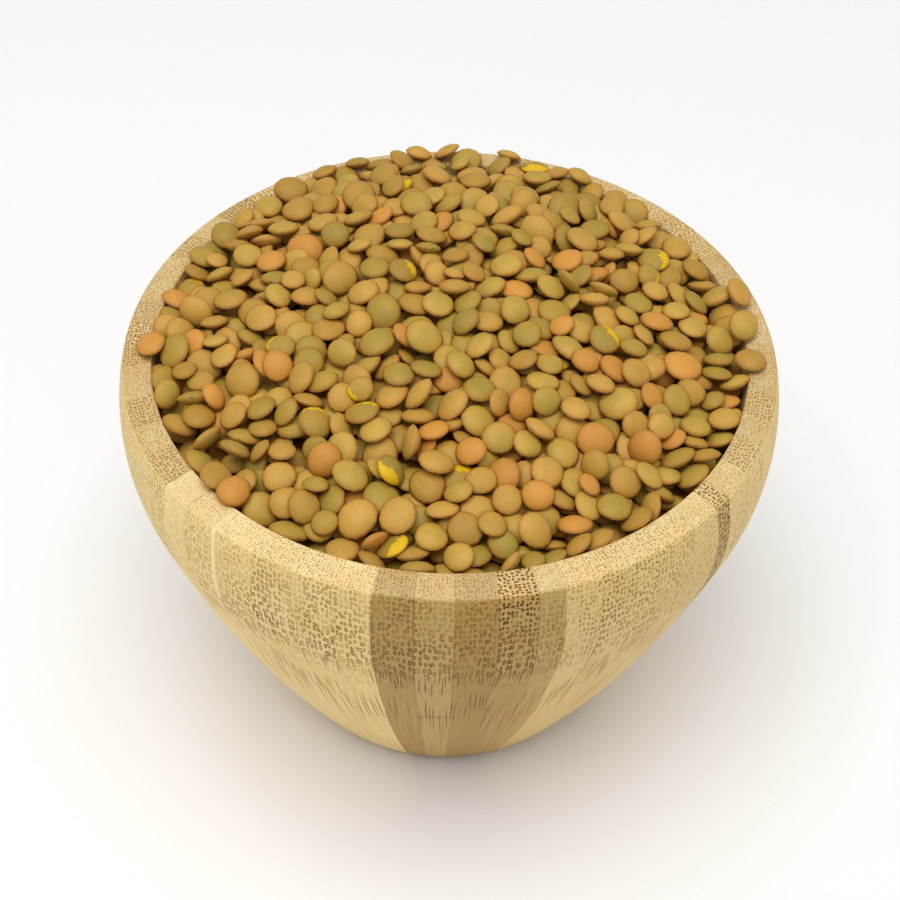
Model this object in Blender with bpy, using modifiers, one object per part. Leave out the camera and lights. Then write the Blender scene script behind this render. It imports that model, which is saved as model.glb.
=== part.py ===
"""A turned bamboo bowl heaped with dry lentils.

Metres, +Z up. The origin is the middle of the bowl's foot and the front faces -Y.
The bowl is one turned solid. The lentils are one heap: a plug that fills the bowl and is
domed on top, with the lentils of its surface let down on it one by one and fused on.
"""
from math import cos, hypot, pi, radians, sin, sqrt, tau

import bmesh
import bpy
import numpy as np
from mathutils import Matrix, Vector

# The bowl, turned about Z. A heading is the profile's direction: 0 runs outward, 90 straight down
BOWL_RADIUS = 0.0700
BOWL_HEIGHT = 0.0980
MOUTH_RADIUS = 0.0624
RIM_FLAT_RADIUS = 0.0665
EDGE_ROUND = 0.0020
EDGE_HEADING = radians(74.5)
SHOULDER_ROUND = 0.0438
SHOULDER_HEADING = radians(107.2)
WALL_HEADING = radians(118.5)
FOOT_ROUND = 0.0101
FLOOR_THICKNESS = 0.0085
CAVITY_TOP_HEADING = radians(94.0)
CAVITY_LOW_HEADING = radians(121.0)
CAVITY_ROUND = 0.0085
BOWL_SIDES = 72
EDGE_STEPS = 2
SHOULDER_STEPS = 4
WALL_STEPS = 3
ROUND_STEPS = 3
CAVITY_STEPS = 4
FLOOR_STEPS = 2
WELD = 0.00001

# The heap's surface: a low dome, lower at the front of the mouth than at the back
HEAP_EDGE = -0.0005
HEAP_LEAN = 0.0037
HEAP_DOME = 0.0110
PLUG_DEPTH = 0.0015
PLUG_SIDES = 24
PLUG_RINGS = (0.5, 0.85)
WALL_GAP = 0.0006
RIM_GAP = 0.0006

# The lentils
LENTIL_COUNT = 300
LENTIL_RADIUS = 0.0033
RADIUS_SPREAD = 0.0002
THICKNESS_SHARE = 0.40
THICKNESS_SPREAD = 0.06
LENTIL_SIDES = 6
CORNER_SHARE = 1.05
CROWN_SHARE = 0.58
CROWN_HEIGHT = 0.85
CUT_DEPTH = 0.25
SINK = 0.0010
LEVEL_SLACK = 0.0012
SEED = 7
SMALLEST_EDGE = 0.000002

# The drop: cells of the height map, start of each lentil, tips before it lies still
CELL = 0.0005
OUTSIDE = -1.0
SPREAD_RADIUS = 0.0610
PLACE_JITTER = 0.0006
START_LEAN = 0.35
TIPS = 9
TIP_GAIN = 0.55
SLIDE_GAIN = 0.10

LENTIL_BROWN = (0.33, 0.20, 0.065, 1.0)
BAMBOO = (0.62, 0.44, 0.22, 1.0)


def clear_scene():
    for thing in list(bpy.data.objects):
        bpy.data.objects.remove(thing, do_unlink=True)


def material(name, colour, roughness):
    made = bpy.data.materials.new(name)
    made.use_nodes = True
    shader = made.node_tree.nodes["Principled BSDF"]
    shader.inputs["Base Color"].default_value = colour
    shader.inputs["Roughness"].default_value = roughness
    shader.inputs["Metallic"].default_value = 0.0
    return made


def add_object(name, mesh, collection):
    made = bpy.data.objects.new(name, mesh)
    collection.objects.link(made)
    return made


def bend(points, start, end, radius, steps):
    """Carry a profile on along an arc that turns from one heading to another."""
    r, z = points[-1]
    for step in range(1, steps + 1):
        heading = start + (end - start) * step / steps
        out = r + radius * (sin(heading) - sin(start))
        down = z - radius * (cos(start) - cos(heading))
        points.append((out, down))


def radius_for_drop(drop, start, end):
    """The arc radius that falls by a given height between two headings."""
    return drop / (cos(start) - cos(end))


def outer_profile():
    """The outside, from the flat rim down to the foot: edge, shoulder, long wall, foot."""
    points = [(RIM_FLAT_RADIUS, BOWL_HEIGHT)]
    bend(points, 0.0, EDGE_HEADING, EDGE_ROUND, EDGE_STEPS)
    bend(points, EDGE_HEADING, SHOULDER_HEADING, SHOULDER_ROUND, SHOULDER_STEPS)
    foot_rise = FOOT_ROUND * (cos(WALL_HEADING) - cos(pi))
    wall_radius = radius_for_drop(points[-1][1] - foot_rise, SHOULDER_HEADING, WALL_HEADING)
    bend(points, SHOULDER_HEADING, WALL_HEADING, wall_radius, WALL_STEPS)
    bend(points, WALL_HEADING, pi, FOOT_ROUND, ROUND_STEPS)
    points[-1] = (points[-1][0], 0.0)
    points.append((0.0, 0.0))
    return points


def cavity_profile():
    """The inside, from the mouth's sharp edge down to the middle of the floor."""
    points = [(MOUTH_RADIUS, BOWL_HEIGHT)]
    round_rise = CAVITY_ROUND * (cos(CAVITY_LOW_HEADING) - cos(pi))
    drop = BOWL_HEIGHT - FLOOR_THICKNESS - round_rise
    wall_radius = radius_for_drop(drop, CAVITY_TOP_HEADING, CAVITY_LOW_HEADING)
    bend(points, CAVITY_TOP_HEADING, CAVITY_LOW_HEADING, wall_radius, CAVITY_STEPS)
    bend(points, CAVITY_LOW_HEADING, pi, CAVITY_ROUND, FLOOR_STEPS)
    points.append((0.0, FLOOR_THICKNESS))
    return points


def cavity_radius(z):
    """Radius of the inside at a height."""
    cavity = np.array(cavity_profile()[:-1])[::-1]
    return float(np.interp(z, cavity[:, 1], cavity[:, 0]))


def turned(name, profile, sides, collection):
    """A solid of revolution: the profile starts and ends on the axis."""
    mesh = bpy.data.meshes.new(name)
    corners = [(r, 0.0, z) for r, z in profile]
    edges = [(i, i + 1) for i in range(len(corners) - 1)]
    mesh.from_pydata(corners, edges, [])
    made = add_object(name, mesh, collection)
    screw = made.modifiers.new("turn", "SCREW")
    screw.axis = "Z"
    screw.angle = tau
    screw.steps = sides
    screw.render_steps = sides
    screw.use_merge_vertices = True
    screw.merge_threshold = WELD
    return made


def evaluated_mesh(thing):
    """The mesh with its modifiers applied, as a new mesh."""
    graph = bpy.context.evaluated_depsgraph_get()
    return bpy.data.meshes.new_from_object(thing.evaluated_get(graph))


def make_bowl(collection):
    profile = list(reversed(cavity_profile())) + outer_profile()
    bowl = turned("bowl", profile, BOWL_SIDES, collection)
    bowl.data.materials.append(material("bamboo", BAMBOO, 0.55))
    return bowl


def heap_level(x, y):
    """Height of the heap's surface over a point, as seen across the tops of the lentils."""
    share = np.minimum(np.hypot(x, y) / MOUTH_RADIUS, 1.0)
    lean = HEAP_LEAN * np.clip(y / MOUTH_RADIUS, -1.0, 1.0)
    return BOWL_HEIGHT + HEAP_EDGE + lean + HEAP_DOME * (1.0 - share ** 2)


def make_plug(collection):
    """The heap's inside: it fills the bowl and stays clear of the wall."""
    floor = FLOOR_THICKNESS + WALL_GAP
    wall = [(r - WALL_GAP, max(z, floor)) for r, z in cavity_profile()[:-1]]
    brim = wall[0][0]
    top = [(share * brim, BOWL_HEIGHT) for share in (0.0,) + PLUG_RINGS]
    plug = turned("lentils", top + wall + [(0.0, floor)], PLUG_SIDES, collection)
    mesh = evaluated_mesh(plug)
    for vertex in mesh.vertices:
        x, y, z = vertex.co
        if z > BOWL_HEIGHT - WELD:
            vertex.co.z = float(heap_level(x, y)) - PLUG_DEPTH
            if hypot(x, y) > brim - WELD:
                inward = (cavity_radius(vertex.co.z) - WALL_GAP) / brim
                vertex.co.x = x * inward
                vertex.co.y = y * inward
    plug.modifiers.clear()
    plug.data = mesh
    return plug


def height_map():
    """The ground that the lentils drop on: plug, wall and rim, each with its gap added."""
    reach = BOWL_RADIUS + LENTIL_RADIUS
    line = np.arange(-reach, reach + CELL, CELL)
    x, y = np.meshgrid(line, line, indexing="ij")
    r = np.hypot(x, y)
    ground = heap_level(x, y) - PLUG_DEPTH
    cavity = np.array(cavity_profile()[:-1])
    wall = np.interp(r, cavity[::-1, 0] - WALL_GAP, cavity[::-1, 1], left=OUTSIDE)
    ground = np.maximum(ground, wall)
    ground[r > MOUTH_RADIUS - WALL_GAP] = BOWL_HEIGHT + RIM_GAP + SINK
    ground[r > BOWL_RADIUS] = OUTSIDE
    return line, ground


def lens_span(dx, dy, axis, radius, half):
    """Lowest and highest height of a lens over each point: where two balls overlap."""
    ball = (radius ** 2 + half ** 2) / (2.0 * half)
    low = np.full(dx.shape, -np.inf)
    high = np.full(dx.shape, np.inf)
    for side in (-1.0, 1.0):
        cx, cy, cz = axis * side * (ball - half)
        chord = ball ** 2 - (dx - cx) ** 2 - (dy - cy) ** 2
        root = np.sqrt(np.maximum(chord, 0.0))
        low = np.maximum(low, np.where(chord > 0.0, cz - root, np.inf))
        high = np.minimum(high, np.where(chord > 0.0, cz + root, -np.inf))
    return low, high


def settle(line, ground, place, axis, radius, half):
    """Let a lentil down till it touches, tip it off that point, and do so again."""
    reach = int(radius / CELL) + 2
    x, y = place
    for tip in range(TIPS):
        i = int(round((x - line[0]) / CELL))
        j = int(round((y - line[0]) / CELL))
        patch = (slice(i - reach, i + reach + 1), slice(j - reach, j + reach + 1))
        dx, dy = np.meshgrid(line[patch[0]] - x, line[patch[1]] - y, indexing="ij")
        low, high = lens_span(dx, dy, axis, radius, half)
        under = high > low
        lift = np.where(under, ground[patch] - low, -np.inf)
        spot = np.unravel_index(np.argmax(lift), lift.shape)
        z = lift[spot] - SINK
        if tip == TIPS - 1:
            break
        lever = np.array((dx[spot], dy[spot], 0.0))
        calm = 1.0 - tip / TIPS
        axis = axis - TIP_GAIN * calm * lever / radius
        axis = axis / np.linalg.norm(axis)
        x -= SLIDE_GAIN * calm * lever[0]
        y -= SLIDE_GAIN * calm * lever[1]
    return (x, y, z), axis, patch, np.where(under, high, -np.inf)


def sunflower(count):
    """Places spread evenly over the mouth, in a shuffled order."""
    draw = np.random.default_rng(SEED)
    order = draw.permutation(count)
    spread = SPREAD_RADIUS * np.sqrt((order + 0.5) / count)
    turn = order * pi * (3.0 - sqrt(5.0))
    shift = PLACE_JITTER * draw.standard_normal((2, count))
    return spread * np.cos(turn) + shift[0], spread * np.sin(turn) + shift[1]


def drop_lentils():
    """Drop the lentils over an even spread of places, the largest first."""
    draw = np.random.default_rng(SEED + 1)
    line, ground = height_map()
    sizes = np.sort(LENTIL_RADIUS + RADIUS_SPREAD * draw.standard_normal(LENTIL_COUNT))[::-1]
    seats = []
    for radius, x, y in zip(sizes, *sunflower(LENTIL_COUNT)):
        lean = START_LEAN * draw.standard_normal(2)
        axis = np.array((lean[0], lean[1], 1.0))
        axis = axis / np.linalg.norm(axis)
        half = radius * THICKNESS_SHARE * (1.0 + THICKNESS_SPREAD * draw.standard_normal())
        spot, axis, patch, top = settle(line, ground, (x, y), axis, radius, half)
        turn = draw.random() * tau
        if spot[2] < heap_level(spot[0], spot[1]) + LEVEL_SLACK:
            seats.append((spot, axis, radius, half, turn))
            ground[patch] = np.maximum(ground[patch], top + spot[2])
    return seats


def lentil_mesh(name, radius, half):
    """A lentil with few faces: its sides lean in to a flat crown, and it is cut off below."""
    shape = bmesh.new()
    bmesh.ops.create_cone(
        shape, cap_ends=True, segments=LENTIL_SIDES, radius1=radius * CORNER_SHARE,
        radius2=radius * CROWN_SHARE, depth=half * (CROWN_HEIGHT + CUT_DEPTH))
    middle = half * (CROWN_HEIGHT - CUT_DEPTH) / 2.0
    bmesh.ops.translate(shape, verts=shape.verts, vec=(0.0, 0.0, middle))
    mesh = bpy.data.meshes.new(name)
    shape.to_mesh(mesh)
    shape.free()
    return mesh


def keep_largest_shell(mesh):
    """Drop loose scraps and fill sealed hollows: only the shell with most faces stays."""
    shape = bmesh.new()
    shape.from_mesh(mesh)
    bmesh.ops.remove_doubles(shape, verts=shape.verts, dist=SMALLEST_EDGE)
    bmesh.ops.dissolve_degenerate(shape, edges=shape.edges, dist=SMALLEST_EDGE)
    todo = set(shape.faces)
    shells = []
    while todo:
        shell = []
        front = [todo.pop()]
        while front:
            face = front.pop()
            shell.append(face)
            for edge in face.edges:
                for near in edge.link_faces:
                    if near in todo:
                        todo.remove(near)
                        front.append(near)
        shells.append(shell)
    shells.sort(key=len)
    scrap = [face for shell in shells[:-1] for face in shell]
    bmesh.ops.delete(shape, geom=scrap, context="FACES")
    bmesh.ops.triangulate(shape, faces=shape.faces)
    shape.to_mesh(mesh)
    shape.free()


def make_heap(collection):
    """The plug with its lentils fused on by one union."""
    plug = make_plug(collection)
    grains = bpy.data.collections.new("lentils to fuse")
    bpy.context.scene.collection.children.link(grains)
    for count, (spot, axis, radius, half, turn) in enumerate(drop_lentils()):
        name = f"lentil_{count:03d}"
        grain = add_object(name, lentil_mesh(name, radius, half), grains)
        upright = Vector((0.0, 0.0, 1.0)).rotation_difference(Vector(axis)).to_matrix().to_4x4()
        seat = Matrix.Translation(spot)
        grain.matrix_world = seat @ upright @ Matrix.Rotation(turn, 4, "Z")
    bpy.context.view_layer.update()
    union = plug.modifiers.new("fuse", "BOOLEAN")
    union.operation = "UNION"
    union.operand_type = "COLLECTION"
    union.collection = grains
    union.solver = "EXACT"
    fused = evaluated_mesh(plug)
    plug.modifiers.clear()
    plug.data = fused
    for grain in list(grains.objects):
        bpy.data.objects.remove(grain, do_unlink=True)
    bpy.data.collections.remove(grains)
    keep_largest_shell(fused)
    fused.materials.clear()
    fused.materials.append(material("lentils", LENTIL_BROWN, 0.6))
    return plug


def main():
    clear_scene()
    collection = bpy.data.collections.new("bowl of dry lentils")
    bpy.context.scene.collection.children.link(collection)
    make_bowl(collection)
    make_heap(collection)


main()
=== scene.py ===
from math import cos, pi, radians, sin, tau

import bpy
import numpy as np
from mathutils import Matrix, Vector


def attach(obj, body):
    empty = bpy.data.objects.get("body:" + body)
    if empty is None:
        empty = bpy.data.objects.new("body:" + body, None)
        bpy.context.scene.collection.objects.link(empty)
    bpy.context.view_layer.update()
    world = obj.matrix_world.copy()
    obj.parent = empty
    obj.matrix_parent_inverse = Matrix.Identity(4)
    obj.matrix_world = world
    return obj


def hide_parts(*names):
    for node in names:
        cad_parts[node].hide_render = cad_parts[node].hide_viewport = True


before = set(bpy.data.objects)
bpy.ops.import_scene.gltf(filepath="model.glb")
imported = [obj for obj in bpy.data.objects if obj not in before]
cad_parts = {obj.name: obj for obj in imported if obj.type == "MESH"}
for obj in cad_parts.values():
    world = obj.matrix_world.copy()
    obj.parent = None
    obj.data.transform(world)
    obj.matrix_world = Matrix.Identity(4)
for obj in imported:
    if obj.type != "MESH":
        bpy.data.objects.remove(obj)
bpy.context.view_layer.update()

# The bowl. Some fifty strips of bamboo are glued side by side into a ring, which is then turned
# on a lathe, sanded and oiled. The fibres lean outward: the rim and the shoulder cut across them
# and show rings and dots, and the lower wall cuts along them and shows streaks.
BOWL_RADIUS = 0.0700
BOWL_HEIGHT = 0.0980
MOUTH_RADIUS = 0.0624
MOUTH_ROUND = 0.0004
RIM_FLAT_RADIUS = 0.06742
RIM_SHIFT = 0.0008
RIM_SHIFT_DEPTH = 0.006
EDGE_ROUND = 0.0010
EDGE_HEADING = radians(74.5)
SHOULDER_ROUND = 0.0438
SHOULDER_HEADING = radians(107.2)
WALL_HEADING = radians(118.5)
FOOT_ROUND = 0.0101
FLOOR_THICKNESS = 0.0085
CAVITY_TOP_HEADING = radians(94.0)
CAVITY_LOW_HEADING = radians(121.0)
CAVITY_ROUND = 0.0085
# Rows of the profile in each of its parts, and millimetres to a metre
EDGE_ROWS = 6
SHOULDER_ROWS = 16
WALL_ROWS = 28
FOOT_ROWS = 12
CAVITY_WALL_ROWS = 14
CAVITY_ROUND_ROWS = 6
LIP_ROWS = 4
RIM_ROWS = 5
MM = 1000.0

STRIP_WIDTH = 6.5
STRIP_COLUMNS = 6
FIBRE_RISE = radians(66.0)
SEEN_SEAMS = (-136.0, -128.0, -100.0, -83.0, -74.5, -53.0, -46.7, -39.8, -32.0,
              -11.2, -4.6, 1.7, 8.6, 15.0, 19.4, 50.0, 53.5)
# Seams that stand out, by their place in degrees round from the front: how dark the glue line
# is on the wall and on the rim, below nought where it is pale
MARKED_SEAMS = ((-11.2, 1.0, 0.2), (-4.6, 0.85, 0.4), (8.6, 0.35, 0.3), (15.0, 0.3, 0.3),
                (-46.7, 0.1, 0.8), (-53.0, 0.05, 0.7), (-39.8, -0.8, -0.35))
# Strips that stand out, by their place in degrees round from the front: how light the wall is
# and the rim, how strong the marks are on the wall and on the rim, and how far they are filled
# in: up to 1 it is on the rim and the top of the wall, past 1 also further down the wall
SEEN_STRIPS = ((-132.0, 0.16, 0.04, 1.0, 0.9, 1.0), (-124.0, 0.55, 0.26, 0.6, 0.6, 0.0),
               (-115.0, 0.60, 0.21, 0.9, 0.7, 1.0), (-108.0, 0.60, 0.26, 0.6, 0.8, 0.0),
               (-96.0, 0.70, 0.16, 0.4, 0.6, 1.0), (-88.0, 0.75, 0.10, 0.4, 0.7, 1.0),
               (-78.0, 0.85, 0.20, 0.3, 0.6, 0.0), (-70.0, 0.85, 0.18, 0.3, 0.7, 1.0),
               (-63.0, 0.88, 0.22, 0.4, 0.9, 0.0), (-57.0, 0.90, 0.26, 0.5, 0.7, 1.0),
               (-50.0, 0.95, 0.66, 0.3, 0.3, 0.0), (-43.0, 0.92, 0.60, 0.6, 0.5, 0.0),
               (-36.0, 0.84, 0.74, 0.7, 0.6, 0.0), (-28.5, 0.80, 0.72, 0.9, 0.85, 0.0),
               (-21.6, 0.78, 0.72, 0.9, 0.9, 0.0), (-14.7, 0.78, 0.74, 0.9, 0.8, 0.0),
               (-8.0, 0.05, 0.03, 1.0, 0.9, 0.0), (-1.5, 0.20, 0.30, 0.9, 0.8, 0.0),
               (5.0, 0.0, 0.02, 1.0, 0.9, 0.0), (12.0, 0.10, 0.26, 1.25, 1.4, 1.0),
               (17.0, 0.18, 0.38, 0.7, 0.6, 0.0), (22.0, 0.60, 0.58, 0.5, 0.8, 1.8),
               (28.0, 0.62, 0.57, 0.6, 0.95, 1.9), (35.0, 0.63, 0.57, 0.55, 0.9, 1.8),
               (41.0, 0.66, 0.56, 0.45, 0.8, 1.7), (47.0, 0.70, 0.56, 0.35, 0.6, 1.6),
               (51.5, 0.30, 0.30, 1.2, 1.0, 1.0), (57.0, 0.80, 0.36, 0.5, 0.7, 0.0),
               (63.0, 0.82, 0.24, 0.4, 0.7, 1.0), (70.0, 0.84, 0.20, 0.3, 0.9, 0.0),
               (77.0, 0.84, 0.14, 0.3, 0.7, 1.0), (84.0, 0.84, 0.14, 0.3, 0.9, 0.0))
# The other strips are drawn at random round these: their light, their marks, their glue lines
USUAL_LIGHT = 0.70
LIGHT_SPREAD = 0.05
DARK_STRIPS = 0.12
DARK_STRIP_LOSS = 0.45
RIM_LOSS = 0.42
RIM_SPREAD = 0.06
USUAL_MARKS = 0.65
MARKS_SPREAD = 0.20
USUAL_RIM_MARKS = 0.85
RIM_MARKS_SPREAD = 0.15
FILLED_STRIPS = 0.3
WALL_SEAM_DARK = 0.12
RIM_SEAM_DARK = 0.3
# The line across one strip where the cane had a node, and the gap in mm that keeps it off others
NODE_STRIP = -1.5
NODE_HEIGHT = 0.0490
FAR_FROM_NODE = 30.0
# A face counts as rim from this upward slant on, fully so a span further. The cavity's wall
# counts as cut less squarely by a loss, and each strip's grain starts within an offset in mm
RIM_FROM = 0.55
RIM_SPAN = 0.35
CAVITY_CUT_LOSS = 0.10
GRAIN_OFFSET = 400.0
SEED = 11


def arc(at, start, end, radius, rows):
    """Profile rows after a point, along an arc that turns from one heading to another: outward
    by the radius times the gain in the heading's sine, down by it times the loss in its cosine."""
    heading = np.linspace(start, end, rows + 1)[1:]
    out = at[0] + radius * (np.sin(heading) - sin(start))
    down = at[1] - radius * (cos(start) - np.cos(heading))
    return np.column_stack((out, down))


def outer_rows():
    """The outside, from the rim's flat to the foot's flat: edge, shoulder, long wall, foot."""
    edge = arc((RIM_FLAT_RADIUS, BOWL_HEIGHT), 0.0, EDGE_HEADING, EDGE_ROUND, EDGE_ROWS)
    shoulder = arc(edge[-1], EDGE_HEADING, SHOULDER_HEADING, SHOULDER_ROUND, SHOULDER_ROWS)
    foot_rise = FOOT_ROUND * (cos(WALL_HEADING) - cos(pi))
    drop = shoulder[-1, 1] - foot_rise
    wall_radius = drop / (cos(SHOULDER_HEADING) - cos(WALL_HEADING))
    wall = arc(shoulder[-1], SHOULDER_HEADING, WALL_HEADING, wall_radius, WALL_ROWS)
    foot = arc(wall[-1], WALL_HEADING, pi, FOOT_ROUND, FOOT_ROWS)
    foot[-1, 1] = 0.0
    return np.concatenate((edge, shoulder, wall, foot))


def cavity_rows():
    """The inside, from the mouth's edge down to the floor's flat: long wall, then a round."""
    round_rise = CAVITY_ROUND * (cos(CAVITY_LOW_HEADING) - cos(pi))
    drop = BOWL_HEIGHT - FLOOR_THICKNESS - round_rise
    wall_radius = drop / (cos(CAVITY_TOP_HEADING) - cos(CAVITY_LOW_HEADING))
    mouth = np.array(((MOUTH_RADIUS, BOWL_HEIGHT),))
    wall = arc(mouth[0], CAVITY_TOP_HEADING, CAVITY_LOW_HEADING, wall_radius, CAVITY_WALL_ROWS)
    turn = arc(wall[-1], CAVITY_LOW_HEADING, pi, CAVITY_ROUND, CAVITY_ROUND_ROWS)
    return np.concatenate((mouth, wall, turn))


def bowl_profile():
    """The whole profile, from the floor's middle over the rim to the foot's middle. The mouth's
    edge is broken by a small quarter round between the cavity and the rim's flat."""
    inside = cavity_rows()[::-1][:-1]
    inside = inside[inside[:, 1] < BOWL_HEIGHT - 2.0 * MOUTH_ROUND]
    turn = np.linspace(0.0, pi / 2.0, LIP_ROWS)
    lip = np.column_stack((MOUTH_RADIUS + MOUTH_ROUND * (1.0 - np.cos(turn)),
                           BOWL_HEIGHT + MOUTH_ROUND * (np.sin(turn) - 1.0)))
    flat = np.column_stack((np.linspace(lip[-1, 0], RIM_FLAT_RADIUS, RIM_ROWS + 1)[1:],
                            np.full(RIM_ROWS, BOWL_HEIGHT)))
    floor = np.array(((0.0, FLOOR_THICKNESS),))
    foot = np.array(((0.0, 0.0),))
    return np.concatenate((floor, inside, lip, flat, outer_rows(), foot))


def seams_round(seen, width):
    """Every seam, in radians round from the front: the seen ones, and evenly between two of
    them as many more as strips of about the given width need."""
    ends = np.append(seen, seen[0] + 360.0)
    gaps = [np.linspace(a, b, max(1, round((b - a) / width)), endpoint=False)
            for a, b in zip(ends, ends[1:])]
    return np.radians(np.concatenate(gaps))


def ring_faces(rows, columns):
    """Faces over rings of points, each ring one row: quads between neighbouring rings, then a fan
    of triangles from the first ring to the point after the last ring, and from the last ring to
    the point after that. They face outwards where the rings run over the inside first."""
    row, column = np.meshgrid(np.arange(rows - 1), np.arange(columns), indexing="ij")
    after = (column + 1) % columns
    quads = np.stack((row * columns + column, row * columns + after,
                      (row + 1) * columns + after, (row + 1) * columns + column), axis=-1)
    first = np.arange(columns)
    second = (first + 1) % columns
    last = (rows - 1) * columns
    first_fan = np.stack((np.full(columns, rows * columns), second, first), axis=-1)
    last_fan = np.stack((np.full(columns, rows * columns + 1), last + first, last + second),
                        axis=-1)
    return quads.reshape(-1, 4), np.concatenate((first_fan, last_fan))


def add_piece(name, points, faces, attributes, surface):
    """Make a smooth mesh object from arrays. Each attribute is its name, its domain, and one
    vector for each element of that domain."""
    mesh = bpy.data.meshes.new(name)
    mesh.from_pydata(points.tolist(), [], faces)
    for label, domain, values in attributes:
        layer = mesh.attributes.new(label, "FLOAT_VECTOR", domain)
        layer.data.foreach_set("vector", values.ravel())
    mesh.polygons.foreach_set("use_smooth", np.ones(len(mesh.polygons), dtype=bool))
    mesh.materials.append(surface)
    mesh.validate()
    piece = bpy.data.objects.new(name, mesh)
    bpy.context.scene.collection.objects.link(piece)
    return piece


def colour(red, green, blue):
    """A colour named as a screen shows it, 0 to 255, in the linear light that nodes take."""
    share = np.array((red, green, blue)) / 255.0
    linear = np.where(share > 0.04045, ((share + 0.055) / 1.055) ** 2.4, share / 12.92)
    return (*linear.tolist(), 1.0)


def new_material(name, roughness, shine):
    """A material with one Principled shader, its roughness and specular level set there."""
    made = bpy.data.materials.new(name)
    made.use_nodes = True
    shader = made.node_tree.nodes["Principled BSDF"]
    shader.inputs["Roughness"].default_value = roughness
    shader.inputs["Specular IOR Level"].default_value = shine
    return made, made.node_tree, shader


def put(tree, kind, inputs=(), **settings):
    """Add a node. Its inputs are given by name or number, each a value or another's output."""
    node = tree.nodes.new(kind)
    for name, value in settings.items():
        setattr(node, name, value)
    for socket, value in dict(inputs).items():
        if isinstance(value, bpy.types.NodeSocket):
            tree.links.new(value, node.inputs[socket])
        else:
            node.inputs[socket].default_value = value
    return node


def sums(tree, operation, first, second=0.0, third=0.0, clamp=False):
    """The result of one Math node."""
    values = {0: first, 1: second, 2: third}
    return put(tree, "ShaderNodeMath", values, operation=operation, use_clamp=clamp).outputs[0]


def vectors(tree, operation, first, second):
    """The result of one Vector Math node."""
    values = {0: first, 1: second}
    return put(tree, "ShaderNodeVectorMath", values, operation=operation).outputs[0]


def ramp(tree, value, stops):
    """A value passed through straight pieces between stops, each a place and a height."""
    node = put(tree, "ShaderNodeValToRGB", {0: value})
    band = node.color_ramp.elements
    while len(band) < len(stops):
        band.new(1.0)
    for element, (place, height) in zip(band, stops):
        element.position = place
        element.color = (height, height, height, 1.0)
    return node.outputs[0]


def blend(tree, share, first, second, mode="MIX"):
    """A second colour laid over the first by a share, mixed in or multiplied in."""
    node = put(tree, "ShaderNodeMix", {0: share, 6: first, 7: second},
               data_type="RGBA", blend_type=mode)
    return node.outputs[2]


def attribute(tree, name):
    """The vector that a piece carries under a name, and its three parts."""
    node = put(tree, "ShaderNodeAttribute", attribute_name=name)
    parts = put(tree, "ShaderNodeSeparateXYZ", {0: node.outputs["Vector"]})
    return node.outputs["Vector"], *parts.outputs


def noise(tree, place, scale, detail):
    """A Noise texture's value at a place."""
    sockets = {"Vector": place, "Scale": scale, "Detail": detail}
    return put(tree, "ShaderNodeTexNoise", sockets).outputs[0]


# The fibres' marks: their spacing across the strip in mm, their depth as a share of it, how far
# they stray from an even grid, how far they bend in mm, how strong they are, how much stronger
# to one side of a strip, and how far the yellow round them spreads
RING_SPACING = 0.94
BLOT_SPACING = 0.88
BUNDLE_DEPTH = 0.74
FLECK_SPACING = 0.72
STREAK_SPACING = 0.68
STREAK_DEPTH = 3.3
CELL_DISORDER = 0.52
BEND = 0.6
MARK_WEIGHT = 1.12
MARK_LEAN = 0.19
HALO_SPREAD = 1.6
# The ground: how far end grain pales the rim, how strong the specks are, how far the node's line
# sways in mm, and the relief of marks and fibres
RIM_PALENESS = 0.26
WALL_SPARKLE = 0.16
RIM_SPARKLE = 1.35
NODE_SWAY = 2.2
RELIEF_STRENGTH = 0.5
RELIEF_DEPTH = 0.00006
STRIP_DARK = colour(175, 143, 80)
STRIP_LIGHT = colour(247, 222, 160)
RING_BROWN = colour(98, 62, 16)
DOT_BROWN = colour(128, 88, 34)
STREAK_BROWN = colour(128, 80, 40)
SEAM_BROWN = colour(112, 78, 38)
SEAM_CREAM = colour(250, 234, 178)
END_GRAIN = colour(240, 221, 186)
WARM_STAIN = colour(255, 246, 232)
MARK_HALO = colour(255, 246, 192)


def fibre_cells(tree, place, spacing, stops, depth=BUNDLE_DEPTH):
    """Marks round the fibres: a flat cell pattern across them, so that each runs on along its
    fibre. A mark's darkness goes by the distance from its middle. Also a number for each cell."""
    size = (1.0 / spacing, 1.0 / (depth * spacing), 0.0)
    cells = put(tree, "ShaderNodeTexVoronoi",
                {"Vector": vectors(tree, "MULTIPLY", place, size), "Scale": 1.0,
                 "Randomness": CELL_DISORDER}, voronoi_dimensions="2D")
    own = put(tree, "ShaderNodeSeparateXYZ", {0: cells.outputs["Color"]}).outputs[0]
    return ramp(tree, cells.outputs["Distance"], stops), own


# Drying cracks: the ends as degrees round from the front and mm up, the bow in mm, the strength,
# and how many mm wide a degree of the wall is
CRACKS = (((9.0, 95.7), (13.2, 93.9), 0.35, 0.9), ((25.4, 77.5), (24.2, 49.0), 0.4, 0.7),
          ((24.6, 57.4), (28.0, 54.8), 0.4, 0.5))
DEGREE_WIDTH = 1.18


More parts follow.
